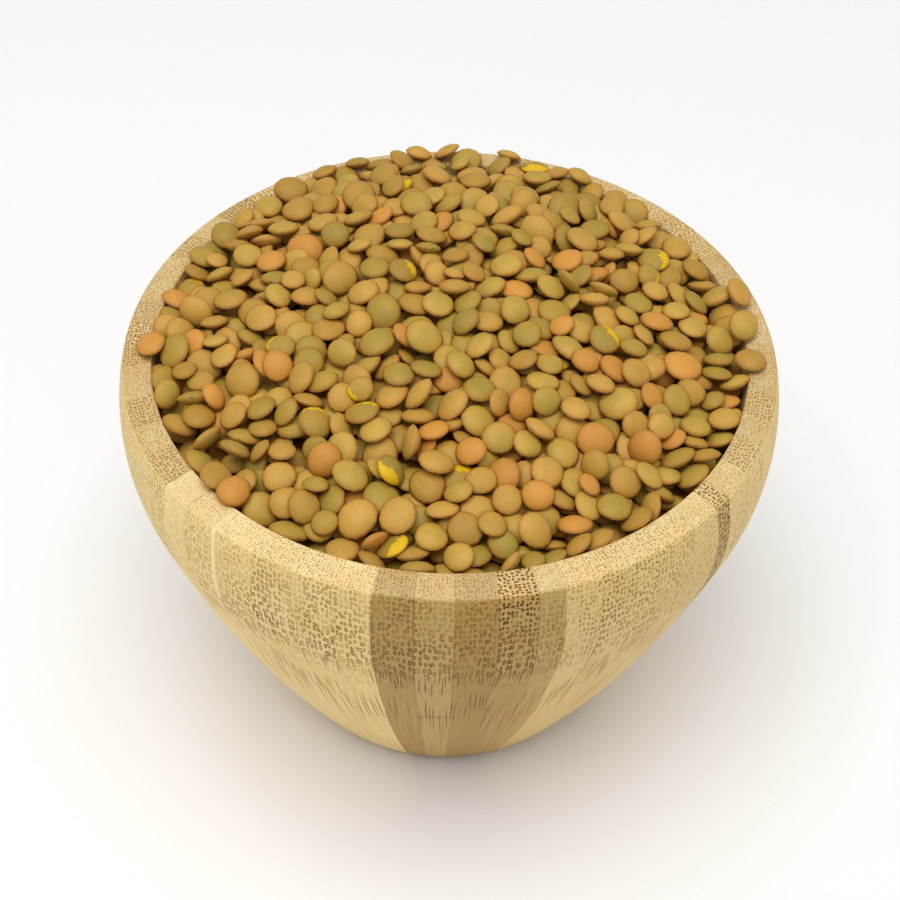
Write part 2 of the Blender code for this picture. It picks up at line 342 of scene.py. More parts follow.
def crack(tree, spot, start, end, bow):
    """A line under half a mm wide on the wall between two places. It lies aside of the straight
    way by 4 times the bow times the share of the way run times the share left, a parabola."""
    scale = np.array((DEGREE_WIDTH, 1.0))
    first, last = np.array(start) * scale, np.array(end) * scale
    length = float(np.linalg.norm(last - first))
    way = (last - first) / length
    offset = vectors(tree, "SUBTRACT", spot, (*first.tolist(), 0.0))
    along = put(tree, "ShaderNodeVectorMath", {0: offset, 1: (*(way / length).tolist(), 0.0)},
                operation="DOT_PRODUCT").outputs[1]
    aside = put(tree, "ShaderNodeVectorMath", {0: offset, 1: (-way[1], way[0], 0.0)},
                operation="DOT_PRODUCT").outputs[1]
    curve = sums(tree, "MULTIPLY", along, sums(tree, "SUBTRACT", 1.0, along))
    gap = sums(tree, "ABSOLUTE", sums(tree, "MULTIPLY_ADD", curve, -4.0 * bow, aside))
    line = ramp(tree, gap, ((0.0, 1.0), (0.08, 0.8), (0.2, 0.0)))
    ends = ramp(tree, along, ((0.0, 0.0), (0.05, 1.0), (0.8, 0.9), (1.0, 0.0)))
    return sums(tree, "MULTIPLY", line, ends)


def bamboo_finish():
    """Oiled bamboo. The marks run along each strip's fibres, so the surface's slant to them
    draws rings on the shoulder and streaks lower down. Grain is in mm across the strip, through
    it and along its fibres. Cut is how squarely the surface cuts the fibres: the cosine between
    them and its normal, 1 on an end face and 0 along them."""
    made, tree, shader = new_material("bamboo", 0.6, 0.22)
    grain, *_ = attribute(tree, "grain")
    _, light, dots, solid = attribute(tree, "stave")
    _, edge_gap, seam_dark, node_gap = attribute(tree, "seam")
    _, rim, cut, lean = attribute(tree, "slant")
    spot, *_ = attribute(tree, "spot")

    # Fibres that bend a little, and the three shapes that their ends are seen in
    bends = put(tree, "ShaderNodeTexNoise",
                {"Vector": vectors(tree, "MULTIPLY", grain, (0.7, 0.7, 0.04)), "Scale": 1.0,
                 "Detail": 2.0})
    shift = vectors(tree, "SUBTRACT", bends.outputs["Color"], (0.5, 0.5, 0.5))
    place = vectors(tree, "ADD", grain, vectors(tree, "MULTIPLY", shift, (BEND, BEND, 0.0)))
    ring, ring_own = fibre_cells(tree, place, RING_SPACING,
                                 ((0.0, 0.0), (0.11, 0.1), (0.19, 1.0), (0.28, 1.0),
                                  (0.40, 0.0)))
    blot, blot_own = fibre_cells(tree, place, BLOT_SPACING,
                                 ((0.0, 1.0), (0.26, 1.0), (0.38, 0.0)))
    fleck, fleck_own = fibre_cells(tree, place, FLECK_SPACING,
                                   ((0.0, 1.0), (0.18, 0.9), (0.36, 0.0)))
    broken = noise(tree, vectors(tree, "MULTIPLY", grain, (1.1, 1.1, 0.45)), 1.0, 1.0)
    slanted = ramp(tree, cut, ((0.04, 0.0), (0.09, 0.25), (0.16, 0.8), (0.25, 1.0)))

    # Rings on the wall, filled in to blots on some strips: each of its own strength, in patches
    ring = sums(tree, "MULTIPLY", ring, sums(tree, "MULTIPLY_ADD", ring_own, 0.3, 0.7))
    ring = sums(tree, "MULTIPLY", ring,
                ramp(tree, cut, ((0.1, 1.0), (0.30, 1.0), (0.45, 0.9), (0.65, 0.7))))
    blot = sums(tree, "MULTIPLY", blot, sums(tree, "MULTIPLY_ADD", blot_own, 0.3, 0.75))
    filled = sums(tree, "MULTIPLY_ADD", solid, ramp(tree, cut, ((0.38, 0.0), (0.54, 1.0))),
                  sums(tree, "MAXIMUM", sums(tree, "SUBTRACT", solid, 1.0), 0.0))
    mark = blend(tree, filled, ring, blot)
    gaps = ramp(tree, broken, ((0.42, 0.0), (0.56, 1.0)))
    thick = noise(tree, vectors(tree, "MULTIPLY", grain, (0.35, 0.35, 0.03)), 1.0, 1.0)
    thick = ramp(tree, thick, ((0.36, 0.45), (0.52, 1.0)))
    gaps = blend(tree, slanted, gaps, thick)
    # Streaks low on the wall, and the end of the rings above them
    streak, streak_own = fibre_cells(tree, place, STREAK_SPACING,
                                     ((0.0, 1.0), (0.13, 0.95), (0.25, 0.0)), STREAK_DEPTH)
    streak = sums(tree, "MULTIPLY", streak, ramp(tree, streak_own, ((0.05, 0.3), (0.42, 1.0))))
    fade = ramp(tree, cut, ((0.0, 0.3), (0.04, 0.8), (0.08, 1.0), (0.14, 1.0), (0.22, 0.0)))
    streak = sums(tree, "MULTIPLY", streak, fade)
    weight = sums(tree, "MULTIPLY_ADD", lean, MARK_LEAN, MARK_WEIGHT)
    weight = sums(tree, "MULTIPLY", weight, sums(tree, "MULTIPLY", gaps, dots))
    weight = sums(tree, "MULTIPLY", weight,
                  ramp(tree, cut, ((0.06, 0.0), (0.10, 0.3), (0.14, 0.85), (0.18, 1.0))))
    mark = sums(tree, "MAXIMUM", sums(tree, "MULTIPLY", mark, weight),
                sums(tree, "MULTIPLY", streak, sums(tree, "POWER", dots, 0.5)))
    # Flecks on the rim, blots there on some strips
    fleck = sums(tree, "MULTIPLY", fleck, ramp(tree, fleck_own, ((0.2, 0.1), (0.8, 1.0))))
    top_mark = blend(tree, solid, fleck, blot)
    top_mark = sums(tree, "MULTIPLY", top_mark, dots)
    mark = blend(tree, rim, mark, top_mark)

    # The strip's own tone, with fine fibres, clouds, specks and a warm stain
    ground = blend(tree, light, STRIP_DARK, STRIP_LIGHT)
    ground = blend(tree, sums(tree, "MULTIPLY", rim, RIM_PALENESS), ground, END_GRAIN)
    fibre = noise(tree, vectors(tree, "MULTIPLY", grain, (2.6, 2.6, 0.08)), 1.0, 3.0)
    cloud = noise(tree, vectors(tree, "MULTIPLY", grain, (0.12, 0.12, 0.03)), 1.0, 1.0)
    speck = noise(tree, grain, 4.2, 2.0)
    value = sums(tree, "MULTIPLY_ADD", fibre, 0.18, 0.91)
    value = sums(tree, "MULTIPLY", value, sums(tree, "MULTIPLY_ADD", cloud, 0.16, 0.92))
    sparkle = sums(tree, "MULTIPLY_ADD", rim, RIM_SPARKLE, WALL_SPARKLE)
    sparkle = sums(tree, "MULTIPLY_ADD", sums(tree, "SUBTRACT", speck, 0.5), sparkle, 1.0)
    value = sums(tree, "MULTIPLY", value, sparkle)
    shade = put(tree, "ShaderNodeCombineColor", {0: value, 1: value, 2: value}).outputs[0]
    ground = blend(tree, 1.0, ground, shade, "MULTIPLY")
    stain = noise(tree, vectors(tree, "MULTIPLY", grain, (0.2, 0.2, 0.02)), 1.0, 2.0)
    stain = ramp(tree, stain, ((0.36, 0.1), (0.64, 1.0)))
    ground = blend(tree, stain, ground, WARM_STAIN, "MULTIPLY")

    # The marks laid on, then the seams, the node's line and the cracks
    brown = blend(tree, slanted, STREAK_BROWN, blend(tree, rim, RING_BROWN, DOT_BROWN))
    halo = sums(tree, "MULTIPLY", mark, HALO_SPREAD, clamp=True)
    tinted = blend(tree, halo, ground, MARK_HALO, "MULTIPLY")
    surface = blend(tree, mark, tinted, brown)
    line = ramp(tree, edge_gap, ((0.0, 1.0), (0.09, 0.8), (0.22, 0.0)))
    line = sums(tree, "MULTIPLY", line, ramp(tree, cut, ((0.0, 0.4), (0.12, 0.6), (0.3, 1.0))))
    dotted = noise(tree, vectors(tree, "MULTIPLY", grain, (0.9, 0.9, 0.3)), 1.0, 1.0)
    line = sums(tree, "MULTIPLY", line, ramp(tree, dotted, ((0.40, 0.25), (0.56, 1.0))))
    darker = sums(tree, "MULTIPLY", line, sums(tree, "MAXIMUM", seam_dark, 0.0))
    surface = blend(tree, darker, surface, SEAM_BROWN)
    wide = ramp(tree, edge_gap, ((0.0, 1.0), (0.48, 0.9), (0.62, 0.0)))
    paler = sums(tree, "MAXIMUM", sums(tree, "MULTIPLY", seam_dark, -1.0), 0.0)
    paler = sums(tree, "MULTIPLY", paler, ramp(tree, cut, ((0.12, 0.2), (0.35, 1.0))))
    surface = blend(tree, sums(tree, "MULTIPLY", wide, paler), surface, SEAM_CREAM)
    sway = noise(tree, vectors(tree, "MULTIPLY", grain, (0.5, 0.5, 0.0)), 1.0, 2.0)
    band = sums(tree, "ABSOLUTE", sums(tree, "MULTIPLY_ADD", sway, NODE_SWAY, node_gap))
    band = ramp(tree, band, ((0.0, 0.85), (0.25, 0.5), (0.9, 0.0)))
    dashes = noise(tree, vectors(tree, "MULTIPLY", grain, (1.5, 0.0, 0.0)), 1.0, 1.0)
    band = sums(tree, "MULTIPLY", band, ramp(tree, dashes, ((0.42, 0.1), (0.56, 1.0))))
    surface = blend(tree, band, surface, SEAM_BROWN)
    for start, end, bow, strength in CRACKS:
        opened = sums(tree, "MULTIPLY", crack(tree, spot, start, end, bow), strength)
        surface = blend(tree, opened, surface, RING_BROWN)
    tree.links.new(surface, shader.inputs["Base Color"])

    height = sums(tree, "MULTIPLY_ADD", mark, -0.7, sums(tree, "MULTIPLY", fibre, 0.5))
    relief = put(tree, "ShaderNodeBump", {"Strength": RELIEF_STRENGTH,
                                          "Distance": RELIEF_DEPTH, "Height": height})
    tree.links.new(relief.outputs[0], shader.inputs["Normal"])
    return made


def make_bowl():
    """The profile turned about Z: column angles run from seam to seam, x is the radius times
    the angle's sine and y minus the radius times its cosine. Both ends close in one point. The
    rim's outer edge lies a little nearer the front than its mouth, and that shift dies away
    below the rim as e to the minus square of the drop.
    Grain coordinates are the corner's place along the strip's own three directions: round the
    ring, square to it and to the fibre, and along the fibre, which leans outward and up."""
    draw = np.random.default_rng(SEED)
    seams = seams_round(SEEN_SEAMS, STRIP_WIDTH)
    strips = len(seams)
    ends = np.append(seams, seams[0] + tau)
    share = np.arange(STRIP_COLUMNS) / STRIP_COLUMNS
    angle = (ends[:-1, None] + (ends[1:] - ends[:-1])[:, None] * share).ravel()
    columns = len(angle)
    profile = bowl_profile()
    radius, height = profile[1:-1, 0], profile[1:-1, 1]
    rows = len(radius)
    grid = np.stack((radius[:, None] * np.sin(angle), -radius[:, None] * np.cos(angle),
                     np.repeat(height[:, None], columns, axis=1)), axis=-1)
    outer = np.clip((radius - MOUTH_RADIUS) / (RIM_FLAT_RADIUS - MOUTH_RADIUS), 0.0, 1.0)
    near_rim = np.exp(-((BOWL_HEIGHT - height) / RIM_SHIFT_DEPTH) ** 2)
    grid[:, :, 1] -= (RIM_SHIFT * outer * near_rim)[:, None]
    points = np.concatenate((grid.reshape(-1, 3), ((0.0, 0.0, profile[0, 1]),),
                             ((0.0, 0.0, profile[-1, 1]),)))
    quads, fans = ring_faces(rows, columns)
    quads, fans = quads[:, (0, 3, 2, 1)], fans[:, (0, 2, 1)]    # turned round, to face outwards
    corner = np.concatenate((quads.ravel(), fans.ravel()))
    owner = np.concatenate((np.repeat(np.tile(np.arange(columns), rows - 1), 4),
                            np.repeat(np.tile(np.arange(columns), 2), 3))) // STRIP_COLUMNS
    spot = points[corner]
    middle = (ends[:-1] + ends[1:])[owner] / 2.0
    outward = np.stack((np.sin(middle), -np.cos(middle), 0.0 * middle), axis=-1)
    tangent = np.stack((np.cos(middle), np.sin(middle), 0.0 * middle), axis=-1)
    fibre = cos(FIBRE_RISE) * outward + sin(FIBRE_RISE) * np.array((0.0, 0.0, 1.0))
    square = np.cross(fibre, tangent)
    offset = GRAIN_OFFSET * draw.random((strips, 3))
    grain = MM * np.stack([(spot * way).sum(axis=1) for way in (tangent, square, fibre)],
                          axis=-1) + offset[owner]

    light = USUAL_LIGHT + LIGHT_SPREAD * draw.standard_normal(strips)
    light -= DARK_STRIP_LOSS * (draw.random(strips) < DARK_STRIPS)
    rim_light = np.clip(light - RIM_LOSS + RIM_SPREAD * draw.standard_normal(strips), 0.1, 1.0)
    dots = np.clip(USUAL_MARKS + MARKS_SPREAD * draw.standard_normal(strips), 0.3, 1.0)
    rim_dots = np.clip(USUAL_RIM_MARKS + RIM_MARKS_SPREAD * draw.standard_normal(strips),
                       0.4, 1.0)
    solid = (draw.random(strips) < FILLED_STRIPS).astype(float)
    degrees = np.degrees(ends)
    for place, *looks in SEEN_STRIPS:
        at = np.searchsorted(degrees, place) - 1
        light[at], rim_light[at], dots[at], rim_dots[at], solid[at] = looks

    turned_by = np.arctan2(spot[:, 0], -spot[:, 1])
    gap_back = np.remainder(turned_by - ends[owner] + pi, tau) - pi
    gap_on = np.remainder(ends[owner + 1] - turned_by + pi, tau) - pi
    reach = np.hypot(spot[:, 0], spot[:, 1])
    nearer = np.where(gap_back < gap_on, owner, (owner + 1) % strips)
    edge_gap = MM * reach * np.maximum(np.minimum(gap_back, gap_on), 0.0)
    dark = WALL_SEAM_DARK * draw.random(strips)
    rim_dark = RIM_SEAM_DARK * draw.random(strips)
    for place, *strengths in MARKED_SEAMS:
        at = np.isclose(degrees[:-1], place)
        dark[at], rim_dark[at] = strengths
    node_gap = np.full(len(spot), FAR_FROM_NODE)
    node = owner == np.searchsorted(degrees, NODE_STRIP) - 1
    node_gap[node] = MM * (spot[node, 2] - NODE_HEIGHT)
    step = np.gradient(profile, axis=0)
    facing = np.stack((step[:, 1], -step[:, 0]), axis=-1)
    facing = -facing / np.linalg.norm(facing, axis=1, keepdims=True)
    up_row = np.append(facing[1:-1, 1], (1.0, -1.0))[np.minimum(corner // columns, rows)]
    out_row = np.append(facing[1:-1, 0], (0.0, 0.0))[np.minimum(corner // columns, rows)]
    rim = np.clip((up_row - RIM_FROM) / RIM_SPAN, 0.0, 1.0)
    seam_dark = dark[nearer] + (rim_dark - dark)[nearer] * rim
    seam = np.stack((edge_gap, seam_dark, node_gap), axis=-1)
    cut = out_row * cos(FIBRE_RISE) + up_row * sin(FIBRE_RISE)
    cut = np.maximum(np.maximum(cut, -cut - CAVITY_CUT_LOSS), 0.0)
    side = draw.choice((-1.0, 1.0), strips)[owner]
    lean = side * (gap_back - gap_on) / (gap_back + gap_on)
    slant = np.stack((rim, cut, lean), axis=-1)
    unrolled = np.stack((DEGREE_WIDTH * np.degrees(ends[owner] + gap_back), MM * spot[:, 2],
                         0.0 * gap_back), axis=-1)
    lit = light[owner] + (rim_light - light)[owner] * rim
    filled = solid[owner] * np.where(solid[owner] > 1.0, 1.0 - rim, 1.0)
    marked = dots[owner] + (rim_dots - dots)[owner] * rim
    stave = np.stack((lit, marked, filled), axis=-1)

    return add_piece("bamboo_bowl", points, quads.tolist() + fans.tolist(),
                     (("grain", "CORNER", grain), ("stave", "CORNER", stave),
                      ("seam", "CORNER", seam), ("slant", "CORNER", slant),
                      ("spot", "CORNER", unrolled)), bamboo_finish())


bowl = make_bowl()
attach(bowl, "root")
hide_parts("bowl")

# The heap's inside. Under the lentils that show lie more of them, down to the bowl's floor. They
# are stood in for by one body a few lentils down, a hair clear of the wall all round, coloured in
# painted shade. The heap's level is given by its edge against the rim, its lean up to the back,
# and its dome.
HEAP_EDGE = -0.0005
HEAP_LEAN = 0.0023
HEAP_DOME = 0.0110
CORE_DEPTH = 0.0078
CORE_SWELL = 0.0008
CORE_WAVES = (1400.0, 900.0, 1300.0)
CORE_SIDES = 96
CORE_RINGS = 26
CORE_STEPS = 14
WALL_GAP = 0.0006
SHADE_DARK = colour(108, 62, 14)
SHADE_LIGHT = colour(150, 102, 34)
MOTTLE = 420.0


def heap_level(x, y):
    """Height of the heap over a point: the rim's, a lean towards the back, and a dome that
    falls by the square of the share of the mouth's radius."""
    share = np.minimum(np.hypot(x, y) / MOUTH_RADIUS, 1.0)
    lean = HEAP_LEAN * np.clip(y / MOUTH_RADIUS, -1.0, 1.0)
    return BOWL_HEIGHT + HEAP_EDGE + lean + HEAP_DOME * (1.0 - share ** 2)


def cavity_radius(height):
    """The inside radius of the bowl at a height, between the profile's rows."""
    rows = cavity_rows()[::-1]
    return np.interp(height, rows[:, 1], rows[:, 0])


def core_finish():
    """Lentils too deep to make out, as painted shade: a dark brown, mottled, with no shine."""
    made, tree, shader = new_material("lentils in shade", 0.9, 0.1)
    place = put(tree, "ShaderNodeTexCoord").outputs["Object"]
    surface = blend(tree, noise(tree, place, MOTTLE, 2.0), SHADE_DARK, SHADE_LIGHT)
    tree.links.new(surface, shader.inputs["Base Color"])
    return made


def make_core():
    """Rings over the top: radius is a share of the brim, height the heap's level less a depth,
    plus a swell of crossed waves. Then steps down the wall, a gap inside it, to the floor. The
    rings run over the outside first, so the faces are turned round."""
    turn = tau * np.arange(CORE_SIDES) / CORE_SIDES
    brink = heap_level(MOUTH_RADIUS * np.cos(turn), MOUTH_RADIUS * np.sin(turn)) - CORE_DEPTH
    brim = cavity_radius(brink) - WALL_GAP
    share = (np.arange(CORE_RINGS) + 1.0)[:, None] / CORE_RINGS
    x, y = share * brim * np.cos(turn), share * brim * np.sin(turn)
    along, bent, across = CORE_WAVES
    swell = np.sin(along * x + 2.0 * np.sin(bent * y)) * np.cos(across * y + 1.3)
    z = heap_level(x, y) - CORE_DEPTH + CORE_SWELL * swell * (1.0 - share ** 4)
    floor = FLOOR_THICKNESS + WALL_GAP
    fall = (np.arange(CORE_STEPS) + 1.0)[:, None] / CORE_STEPS
    down = z[-1] + (floor - z[-1]) * fall
    side = cavity_radius(down) - WALL_GAP
    x = np.concatenate((x, side * np.cos(turn)))
    y = np.concatenate((y, side * np.sin(turn)))
    z = np.concatenate((z, down))
    crown = float(heap_level(0.0, 0.0)) - CORE_DEPTH
    points = np.concatenate((np.stack((x, y, z), axis=-1).reshape(-1, 3),
                             ((0.0, 0.0, crown), (0.0, 0.0, floor))))
    quads, fans = ring_faces(len(x), CORE_SIDES)
    faces = quads[:, (0, 3, 2, 1)].tolist() + fans[:, (0, 2, 1)].tolist()
    return add_piece("heap_core", points, faces, (), core_finish())


core = make_core()
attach(core, "root")
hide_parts("lentils")

# The lentils. Whole dry lentils, each a lens of two low domes with a blunt edge, six to seven
# millimetres across. Most are olive green or tan, some orange, and a few have lost a chip of
# their coat. They are let down one by one till the bowl is heaped, and a few lie on the rim.
LENTIL_RADIUS = 0.0034
RADIUS_SPREAD = 0.00030
THICKNESS_SHARE = 0.41
THICKNESS_SPREAD = 0.07
# The bed under the ones that show
BED_DEPTH = 0.0064
BED_SPACING = 0.0060
BED_JITTER = 0.0005
BED_TILT = 0.30
# The ground that they are let down on: its cells, its height off the bowl, its gap over the rim
CELL = 0.0004
OUTSIDE = -1.0
RIM_GAP = 0.0001
# How many are let down, from how many places each is given the best of, and after how many
# misses in a row the bowl is full. A miss makes the cells round the place count as less deep
MOST_LENTILS = 1500
TRIES = 40
MISSES = 500
MISS_COST = 0.0010
MISS_CELLS = 3
# How far out and up one may end: past the mouth at the back, short of the wall elsewhere
OVERHANG = 0.0020
LAP_FROM = 0.7
LAP_SPAN = 0.25
WALL_KEEP = 0.70
BRIM_SLACK = 0.0008
LEVEL_SLACK = 0.0004
# How one starts, leaning, on edge or steep, and how it tips and slides off what it touches
START_LEAN = 0.17
FACING = 0.10
ON_EDGE = 0.06
ON_EDGE_RISE = 0.15
ON_EDGE_TIPS = 3
STEEP_RISE = 0.45
STEEP_TIPS = 2
TIPS = 8
TIP_GAIN = 0.46
SLIDE_GAIN = 0.12
# Lentils lying on the rim: degrees round from the front, distance from the axis
STRAYS = ((-86.6, 0.0622), (86.3, 0.0625), (95.2, 0.0617), (103.9, 0.0629), (-48.0, 0.0607),
          (-43.0, 0.0604))
# Green, tan, orange and chipped ones as shares of all, where orange and chipped ones stand out
# in mm from the heap's middle, and how much of a lentil's height counts as nearness there
KIND_SHARES = (0.49, 0.43, 0.06, 0.02)
HIGHER_FIRST = 0.5
ORANGE_PLACES = ((-5, 34), (-16, 35), (-32, 24), (-33, -16), (-47, -15), (-38, 17), (-22, -39),
                 (-15, -55), (-39, -43), (2, -20), (4, -35), (10, -40), (21, -2), (20, -9),
                 (33, -2), (33, -14), (43, 2), (41, -31), (45, -27), (33, 17), (16, 17),
                 (24, -51), (59, -14), (11, 9), (-11, -6), (-60, 14), (51, 8), (-17, -47))
CHIPPED_PLACES = ((-24, -28), (22, -10), (32, -4), (-11, 51), (-9, 27), (25, 37), (40, 20),
                  (-55, 17), (-10, -57), (-19, -23), (-8, -42), (2, -42), (-33, -11), (-8, 15))


def lens_span(dx, dy, axis, radius, half):
    """Lowest and highest height of a lens over each point: where two balls, whose centres lie
    on its axis to either side, overlap."""
    ball = (radius ** 2 + half ** 2) / (2.0 * half)
    low = np.full(dx.shape, -np.inf)
    high = np.full(dx.shape, np.inf)
    for side in (-1.0, 1.0):
        cx, cy, cz = axis * side * (ball - half)
        chord = ball ** 2 - (dx - cx) ** 2 - (dy - cy) ** 2
        root = np.sqrt(np.maximum(chord, 0.0))
        low = np.maximum(low, np.where(chord > 0.0, cz - root, np.inf))
        high = np.minimum(high, np.where(chord > 0.0, cz + root, -np.inf))
    return low, high


def cells_round(line, x, y, radius):
    """The cells of the ground that a lentil at a place covers, and their distances from it."""
    reach = int(radius / CELL) + 2
    i = int(round((x - line[0]) / CELL))
    j = int(round((y - line[0]) / CELL))
    patch = (slice(i - reach, i + reach + 1), slice(j - reach, j + reach + 1))
    return patch, *np.meshgrid(line[patch[0]] - x, line[patch[1]] - y, indexing="ij")


def settle(line, ground, place, axis, radius, half, tips):
    """Let a lentil down till it touches, tip it off that point and shift it from there, each by
    a gain times the lever from its middle to the touch, and do so again."""
    x, y = place
    for tip in range(tips):
        patch, dx, dy = cells_round(line, x, y, radius)
        low, high = lens_span(dx, dy, axis, radius, half)
        under = high > low
        lift = np.where(under, ground[patch] - low, -np.inf)
        spot = np.unravel_index(np.argmax(lift), lift.shape)
        z = lift[spot]
        if tip == tips - 1:
            break
        lever = np.array((dx[spot], dy[spot], 0.0))
        calm = 1.0 - tip / tips
        axis = axis - TIP_GAIN * calm * lever / radius
        axis = axis / np.linalg.norm(axis)
        x -= SLIDE_GAIN * calm * lever[0]
        y -= SLIDE_GAIN * calm * lever[1]
    return np.array((x, y, z)), axis, patch, np.where(under, high, -np.inf)


def brim_reach(back):
    """How far out a lentil's middle may lie: clear of the wall, but out on the rim at the back.
    Back is the sine of the turn from the right-hand side."""
    lap = np.clip((back - LAP_FROM) / LAP_SPAN, 0.0, 1.0)
    return MOUTH_RADIUS + OVERHANG * lap - WALL_KEEP * LENTIL_RADIUS * (1.0 - lap)


def lay_bed(draw):
    """The layer under the ones that show: a triangular grid of lentils just over the core, each
    a little off its place and tilted."""
    count = int(MOUTH_RADIUS / BED_SPACING) + 2
    column, row = np.meshgrid(np.arange(-count, count + 1), np.arange(-count, count + 1))
    x = BED_SPACING * (column + 0.5 * (row % 2)).ravel()
    y = BED_SPACING * sin(pi / 3.0) * row.ravel()
    x = x + BED_JITTER * draw.standard_normal(len(x))
    y = y + BED_JITTER * draw.standard_normal(len(y))
    z = heap_level(x, y) - BED_DEPTH
    inside = np.hypot(x, y) < cavity_radius(z) - LENTIL_RADIUS
    x, y, z = x[inside], y[inside], z[inside]
    axis = np.stack((*(BED_TILT * draw.standard_normal((2, len(x)))), np.ones(len(x))), axis=-1)
    axis = axis / np.linalg.norm(axis, axis=1, keepdims=True)
    radius = LENTIL_RADIUS + RADIUS_SPREAD * draw.standard_normal(len(x))
    spin = tau * draw.random(len(x))
    return np.column_stack((x, y, z, axis, radius, THICKNESS_SHARE * radius, spin))


def drop_lentils():
    """Fill the bowl, with the ground kept as a grid of heights. Of some random places the one
    lying deepest below the heap's level gets the next lentil, which stays if it ends no higher
    than that level. If not, it is tried steeper, and then the place counts as less deep. The
    strays on the rim come last. A seat is a place, an axis, a radius, half a thickness, a spin."""
    draw = np.random.default_rng(SEED + 1)
    reach = BOWL_RADIUS + 2.0 * LENTIL_RADIUS
    line = np.arange(-reach, reach + CELL, CELL)
    x, y = np.meshgrid(line, line, indexing="ij")
    r = np.hypot(x, y)
    level = heap_level(x, y)
    cavity = cavity_rows()[::-1]
    wall = np.interp(r, cavity[:, 0], cavity[:, 1], left=OUTSIDE)
    ground = np.maximum(level - CORE_DEPTH, wall)
    ground[r > MOUTH_RADIUS - RIM_GAP] = BOWL_HEIGHT + RIM_GAP
    ground[r > BOWL_RADIUS] = OUTSIDE
    tried = np.zeros(ground.shape)
    bed = lay_bed(draw)
    for seat in bed:
        patch, dx, dy = cells_round(line, seat[0], seat[1], LENTIL_RADIUS)
        low, high = lens_span(dx, dy, seat[3:6], seat[6], seat[7])
        top = np.where(high > low, high + seat[2], -np.inf)
        ground[patch] = np.maximum(ground[patch], top)
    seats = []
    misses = 0
    while len(seats) < MOST_LENTILS and misses < MISSES:
        out = (MOUTH_RADIUS + OVERHANG) * np.sqrt(draw.random(TRIES))
        turn = tau * draw.random(TRIES)
        out = np.minimum(out, brim_reach(np.sin(turn)))
        px, py = out * np.cos(turn), out * np.sin(turn)
        cells = (np.round((px - line[0]) / CELL).astype(int),
                 np.round((py - line[0]) / CELL).astype(int))
        best = np.argmax(level[cells] - ground[cells] - tried[cells])
        radius = LENTIL_RADIUS + RADIUS_SPREAD * draw.standard_normal()
        half = radius * THICKNESS_SHARE * (1.0 + THICKNESS_SPREAD * draw.standard_normal())
        lean = START_LEAN * draw.standard_normal(2)
        on_edge = draw.random() < ON_EDGE
        axis = np.array((lean[0], lean[1] - FACING, ON_EDGE_RISE if on_edge else 1.0))
        axis = axis / np.linalg.norm(axis)
        spin = draw.random() * tau
        place = (px[best], py[best])
        steep = np.array((np.cos(spin), np.sin(spin), STEEP_RISE))
        steep = steep / np.linalg.norm(steep)
        for way, tips in ((axis, ON_EDGE_TIPS if on_edge else TIPS), (steep, STEEP_TIPS)):
            seat, lay, patch, top = settle(line, ground, place, way, radius, half, tips)
            out_now = np.hypot(seat[0], seat[1])
            fits = (out_now < brim_reach(seat[1] / out_now) + BRIM_SLACK
                    and seat[2] < heap_level(seat[0], seat[1]) + LEVEL_SLACK)
            if fits:
                break
        if fits:
            seats.append((*seat, *lay, radius, half, spin))
            ground[patch] = np.maximum(ground[patch], top + seat[2])
            misses = 0
        else:
            near = tuple(slice(at[best] - MISS_CELLS, at[best] + MISS_CELLS + 1) for at in cells)
            tried[near] += MISS_COST
            misses += 1
    for degrees, out in STRAYS:
        place = (out * sin(radians(degrees)), -out * cos(radians(degrees)))
        axis = np.array((0.0, 0.0, 1.0))
        half = LENTIL_RADIUS * THICKNESS_SHARE
        seat, axis, patch, top = settle(line, ground, place, axis, LENTIL_RADIUS, half, TIPS)
        seats.append((*seat, *axis, LENTIL_RADIUS, half, 0.0))
        ground[patch] = np.maximum(ground[patch], top + seat[2])
    return np.concatenate((bed, np.array(seats)))


LENTIL_SIDES = 14
LENTIL_RINGS = (0.52, 0.86)
EDGE_POWER = 2.2
DOME_POWER = 0.75
OVAL = 0.045
THREE_LOBES = 0.4
LOPSIDED = 0.12
SKIN_OFFSET = 200.0


